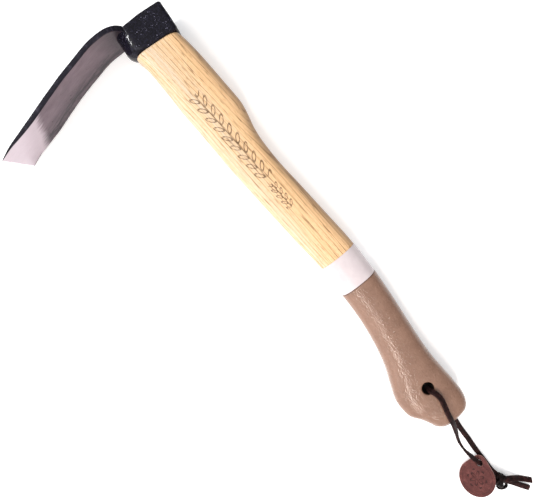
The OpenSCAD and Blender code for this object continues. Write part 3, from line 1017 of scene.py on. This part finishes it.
def strap(line, width, thickness, side=SIDEWAYS, roll=level):
    """A flat strap along a line. Its width points along side, carried along without twisting,
    and is turned by roll, in degrees, about the line."""
    rings = []
    count = len(line)
    for i, p in enumerate(line):
        ahead = (line[min(i + 1, count - 1)] - line[max(i - 1, 0)]).normalized()
        side = (side - ahead * side.dot(ahead)).normalized()
        wide = Matrix.Rotation(math.radians(roll(i / (count - 1))), 3, ahead) @ side
        flat = ahead.cross(wide)
        ring = []
        for a in np.linspace(0, 2 * math.pi, 20, endpoint=False):
            x = float(bent(math.cos(a), 0.45)) * width * pinch(p) / 2
            y = float(bent(math.sin(a), 0.55)) * thickness / 2
            point = p + wide * x + flat * y
            point.z = max(point.z, 0.06)      # lies flat on the ground
            ring.append(point)
        rings.append(ring)

    def end(ring, out):
        """A smaller ring a little past the strap's end."""
        middle = sum(ring, Vector()) / len(ring)
        return [middle + (p - middle) * 0.8 + out.normalized() * 0.15 for p in ring]

    return loft([end(rings[0], line[0] - line[1])] + rings + [end(rings[-1], line[-1] - line[-2])])


def wave(*knots):
    """A smooth function of 0 to 1 through (position, value) knots."""
    table = [list(k) for k in knots]
    return lambda t: smooth(table, t, 1)


def make_lace(material):
    """Two ends of one lace: out of each mouth of the hang hole, through the knot, to its tail."""
    through_a = [[-267.8, -80.6, 5.8], [-269.7, -83.7, 6.0]]
    through_b = [[-266.8, -82.4, 4.5], [-270.2, -83.3, 4.0]]
    upper = curve_points(UPPER_ROUTE + through_a + TAIL_A_ROUTE)
    lower = curve_points(LOWER_ROUTE + through_b + TAIL_B_ROUTE)
    upper_roll = wave((0, 0), (0.12, 10), (0.25, 0), (0.38, -8), (0.46, -30), (0.53, -55),
                      (0.62, -8), (0.8, 14), (0.9, 2), (1, 0))
    lower_roll = wave((0, 0), (0.7, 0), (0.8, -10), (0.9, 0), (1, 0))
    strands = []
    for name, line, roll, nodes in (
            ("lace_upper_strand", upper, upper_roll, ("lace_upper", "lace_tails")),
            ("lace_lower_strand", lower, lower_roll, ("lace_lower",))):
        strand = make_piece(name, strap(line, LACE_WIDTH, LACE_THICKNESS, roll=roll), material, GROUND,
                            50)
        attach(strand, "lanyard")
        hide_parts(*nodes)
        strands.append((strand, line))
    return strands


def make_knot(material):
    """An overhand knot: two slanted turns about both ends, a part that crosses over them and one
    that crosses under, two lobes where the lace doubles back, and an open bight."""
    axis = Vector((math.cos(KNOT_HEADING), math.sin(KNOT_HEADING), 0))
    side = Vector((-axis.y, axis.x, 0))
    up = Vector((0, 0, 1))
    middle = KNOT_AT + axis * 0.9 + side * 0.5

    def about(along, radius, degrees):
        a = math.radians(degrees)
        return (middle + axis * along + side * (radius * math.cos(a))
                + up * (radius * 0.82 * math.sin(a)))

    turns = [about(1.8 - 3.8 * t, 4.0 - 0.5 * abs(2 * t - 1) ** 3, 20 + 740 * t)
             for t in np.linspace(0, 1, 81)]
    over = [about(3.2 - 6.4 * t, 4.5, 150 - 130 * t) for t in np.linspace(0, 1, 24)]
    under = [about(-3.0 + 5.6 * t, 3.9, 200 + 130 * t) for t in np.linspace(0, 1, 20)]

    def lobe(along, across, height, radius):
        centre = middle + axis * along + side * across + up * height
        return [centre + axis * (radius * math.cos(a)) + side * (radius * math.sin(a))
                + up * (0.5 * math.cos(a)) for a in np.linspace(-0.4, 2 * math.pi - 1.2, 30)]

    long_way = Vector((-math.cos(BIGHT_HEADING), -math.sin(BIGHT_HEADING), 0))
    short_way = Vector((-long_way.y, long_way.x, 0))
    bight = []
    for t in np.linspace(0, 1, 41):
        a = math.radians(150 - 320 * t)
        lift = 2.4 * abs(2 * t - 1) ** 4
        bight.append(LOOP_AT + long_way * (LOOP_R * 1.45 * math.cos(a))
                     + short_way * (LOOP_R * 0.95 * math.sin(a)) + up * lift)
    parts = [strap(turns, 3.2, 2.0, axis), strap(over, 3.0, 1.9, axis, lambda t: 30 * t),
             strap(under, 3.0, 1.8, axis), strap(lobe(3.0, -2.4, 1.6, 1.4), 2.4, 1.5, up),
             strap(lobe(-1.4, -3.4, 1.3, 1.3), 2.4, 1.5, up), strap(bight, 2.3, 1.3, up)]
    knot = make_piece("lace_overhand_knot", joined(*parts), material, GROUND, 50)
    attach(knot, "lanyard")
    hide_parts("lace_knot")
    return knot


def tag_outline():
    """The tag's outline round its hole: a disc whose flanks run to a small ear."""
    middle = Vector((-TAG_EAR_OFFSET, 0))
    big = TAG_D / 2
    tangent = math.acos((big - TAG_EAR_R) / TAG_EAR_OFFSET)
    ring = []
    for a in AROUND:
        way = Vector((math.cos(a), math.sin(a)))
        best = 0
        # far side of either circle, or of a straight flank, along this ray
        for centre, r in ((middle, big), (Vector((0, 0)), TAG_EAR_R)):
            b = way.dot(centre)
            under = b * b - centre.length_squared + r * r
            if under >= 0:
                best = max(best, b + math.sqrt(under))
        for sign in (-1, 1):
            normal = Vector((math.cos(tangent), sign * math.sin(tangent)))
            facing = way.dot(normal)
            if facing > 1e-6:
                reach = TAG_EAR_R / facing
                foot = way * reach
                share = (foot - normal * TAG_EAR_R).dot(Vector((-normal.y, normal.x))) * sign
                if 0 <= share <= (middle + normal * big - normal * TAG_EAR_R).length:
                    best = max(best, reach)
        ring.append(way * best)
    return ring


def make_tag(material):
    """The leather tag: rounded rims, a punched hole and a slight curl."""
    outline = tag_outline()
    hole = [Vector((math.cos(a), math.sin(a))) * TAG_HOLE_D / 2 for a in AROUND]
    half = TAG_THICKNESS / 2
    r = 0.55

    def ring(share, inset, height):
        """Points between the hole, share 0, and the outline, share 1, drawn in by inset."""
        made = []
        for inner, outer in zip(hole, outline):
            way = outer.normalized() * inset
            p = (inner + way) + (outer - inner - way * 2) * share
            curl = 0.0016 * (p.x + TAG_EAR_OFFSET) ** 2 - 0.0011 * p.y ** 2
            made.append((p.x, p.y, height + curl - 0.15))
        return made

    profile = []
    for a in np.linspace(0, math.pi / 2, 5):
        profile.append((0, r * (1 - math.cos(a)), half - r + r * math.sin(a)))
    profile += [(s, 0, half) for s in np.linspace(0.06, 0.97, 26)]
    for a in np.linspace(math.pi / 2, 0, 6):
        profile.append((1, r * (1 - math.cos(a)), half - r + r * math.sin(a)))
    under = [(s, i, -h) for s, i, h in reversed(profile)]
    rings = [ring(*p) for p in profile + under]
    tag = make_piece("leather_tag_disc", loft(rings, closed=True), material, TAG_LIE, 50)
    mark(tag, "rim", [1.0 if share in (0, 1) and abs(height) < half - 0.12 else 0.0
                      for share, inset, height in profile + under for _ in AROUND])
    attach(tag, "tag")
    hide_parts("leather_tag")
    return tag


FLOOR_HALF = 3000


def make_floor(material):
    r = FLOOR_HALF
    square = [(-r, -r, 0), (r, -r, 0), (r, r, 0), (-r, r, 0)]
    make_piece("floor", (square, [(0, 1, 2, 3)]), material, GROUND)


def fit(piece, node_name):
    """A hard piece: it rides on the tool and stands for one CAD node."""
    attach(piece, "tool")
    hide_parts(node_name)


# ------ the scene

make_camera()
strands = make_lace(lace_leather("lace_leather", (0.0070, 0.0025, 0.0025), (0.036, 0.0120, 0.0112)))
# the knot is the same lace leather, painted darker as painted shade among its turns
knot = make_knot(lace_leather("knot_leather_painted_shade", (0.0030, 0.0014, 0.0014), (0.016, 0.0060, 0.0056)))
tag = make_tag(tag_leather())
for strand, line in strands:
    run = sum((b - a).length for a, b in zip(line, line[1:]))
    line[0] * MM
    [tuple(p * MM) for p in line]

make_lights()
make_world()
make_floor(floor_paint())
fit(make_handle(ash_wood()), "handle")
fit(make_band(band_paint()), "white_band")
fit(make_coat(grip_coating()), "grip_coat")
kerf, ring = make_wedges(wedge_wood(), ring_steel())
fit(kerf, "kerf_wedge")
fit(ring, "ring_wedge")
fit(make_collar(collar_paint()), "eye_collar")
fit(make_blade(blade_steel()), "blade")
